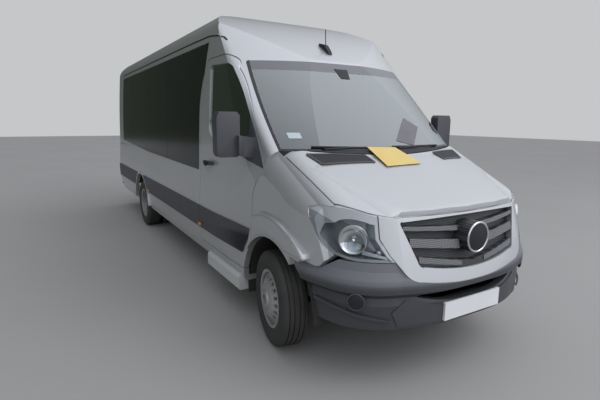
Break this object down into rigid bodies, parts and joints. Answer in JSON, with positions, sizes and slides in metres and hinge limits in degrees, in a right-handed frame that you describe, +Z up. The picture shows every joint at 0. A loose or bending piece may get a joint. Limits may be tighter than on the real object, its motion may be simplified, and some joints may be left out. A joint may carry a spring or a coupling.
{
  "type": "minibus",
  "caption": "High-roof minibus with a sloping bonnet, wide glazed sides, hinged front and rear doors, twin rear wheels and steered front wheels.",
  "frame": {"origin": "centre of the bounding box in plan, on the ground under the tyres", "axes": "+X to the vehicle's left, +Y to its rear, so it drives towards -Y; +Z up"},
  "size_m": [2.426, 7.337, 2.7],
  "materials": {
    "paint": "satin silver metallic",
    "dark_glass": "dark tinted",
    "clear_glass": "clear, slightly green",
    "lens": "clear lens",
    "lamp_housing": "bright reflector",
    "dark_plastic": "grained charcoal",
    "step_plastic": "light grey",
    "cabin_plastic": "grained dark grey",
    "seat_cloth": "woven dark cloth",
    "underbody": "dull coated",
    "chassis_black": "black coated",
    "iron": "as cast",
    "exhaust_steel": "dull",
    "wheel_silver": "satin silver",
    "tyre": "matte",
    "flap_rubber": "matte",
    "tail_lens": "red gloss",
    "plate": "blank white"
  },
  "bodies": {
    "body": {"side_wall_right": "paint", "side_wall_left": "paint", "tail_lamps": "tail_lens", "side_glass": "dark_glass", "side_mouldings": "dark_plastic", "mudflaps": "flap_rubber", "wings": "paint", "cowl": "dark_plastic", "windscreen": "clear_glass", "roof_panel": "paint", "nose_panel": "paint", "grille": "dark_plastic", "headlamp_lenses": "lens", "headlamps": "lamp_housing", "front_bumper": "dark_plastic", "rear_bumper": "dark_plastic", "number_plates": "plate", "floor_pan": "underbody", "chassis_rails": "chassis_black", "engine": "iron", "front_axle": "chassis_black", "rear_axle": "chassis_black", "leaf_springs": "chassis_black", "propeller_shaft": "chassis_black", "fuel_tank": "chassis_black", "exhaust": "exhaust_steel", "entry_step": "step_plastic", "dashboard": "cabin_plastic", "steering_wheel": "cabin_plastic", "front_seats": "seat_cloth", "passenger_seats": "seat_cloth", "wipers": "dark_plastic", "aerial": "dark_plastic"},
    "front_door_right": {"door_right": "paint", "door_glass_right": "clear_glass", "door_trim_right": "dark_plastic"},
    "front_door_left": {"door_left": "paint", "door_glass_left": "clear_glass", "door_trim_left": "dark_plastic"},
    "rear_leaf_right": {"rear_door_right": "paint", "rear_glass_right": "dark_glass"},
    "rear_leaf_left": {"rear_door_left": "paint", "rear_glass_left": "dark_glass"},
    "bonnet_lid": {"bonnet": "paint"},
    "steer_right": {"knuckle_right": "iron"},
    "steer_left": {"knuckle_left": "iron"},
    "wheel_front_right": {"tyre_front_right": "tyre", "rim_front_right": "wheel_silver"},
    "wheel_front_left": {"tyre_front_left": "tyre", "rim_front_left": "wheel_silver"},
    "wheels_rear_right": {"tyres_rear_right": "tyre", "rims_rear_right": "wheel_silver"},
    "wheels_rear_left": {"tyres_rear_left": "tyre", "rims_rear_left": "wheel_silver"}
  },
  "joints": [
    {"name": "steer_left", "type": "hinge", "parent": "body", "child": "steer_left", "pos_m": [0.7, -2.6725, 0.35], "axis": [0, 0, 1], "range_deg": [-26, 44]},
    {"name": "spin_front_left", "type": "hinge", "parent": "steer_left", "child": "wheel_front_left", "pos_m": [0.86396, -2.69847, 0.35], "axis": [0.9877, -0.1564, 0], "continuous": true},
    {"name": "spin_rear_left", "type": "hinge", "parent": "body", "child": "wheels_rear_left", "pos_m": [0.753, 1.6525, 0.35], "axis": [1, 0, 0], "continuous": true},
    {"name": "front_door_left", "type": "hinge", "parent": "body", "child": "front_door_left", "pos_m": [0.94, -2.5865, 1.2], "axis": [0, 0, 1], "range_deg": [-68, 0]},
    {"name": "rear_door_left", "type": "hinge", "parent": "body", "child": "rear_leaf_left", "pos_m": [0.779, 3.6185, 1.5], "axis": [0, 0, 1], "range_deg": [-180, 0]},
    {"name": "steer_right", "type": "hinge", "parent": "body", "child": "steer_right", "pos_m": [-0.7, -2.6725, 0.35], "axis": [0, 0, 1], "range_deg": [-26, 44]},
    {"name": "spin_front_right", "type": "hinge", "parent": "steer_right", "child": "wheel_front_right", "pos_m": [-0.86396, -2.64653, 0.35], "axis": [0.9877, -0.1564, 0], "continuous": true},
    {"name": "spin_rear_right", "type": "hinge", "parent": "body", "child": "wheels_rear_right", "pos_m": [-0.753, 1.6525, 0.35], "axis": [1, 0, 0], "continuous": true},
    {"name": "front_door_right", "type": "hinge", "parent": "body", "child": "front_door_right", "pos_m": [-0.94, -2.5865, 1.2], "axis": [0, 0, 1], "range_deg": [0, 68]},
    {"name": "rear_door_right", "type": "hinge", "parent": "body", "child": "rear_leaf_right", "pos_m": [-0.779, 3.6185, 1.5], "axis": [0, 0, 1], "range_deg": [0, 180]},
    {"name": "bonnet_lift", "type": "hinge", "parent": "body", "child": "bonnet_lid", "pos_m": [0, -2.6925, 1.42], "axis": [-1, 0, 0], "range_deg": [0, 55]}
  ],
  "couplings": [
    {"joint": "steer_right", "follows": "steer_left", "ratio": 1}
  ]
}
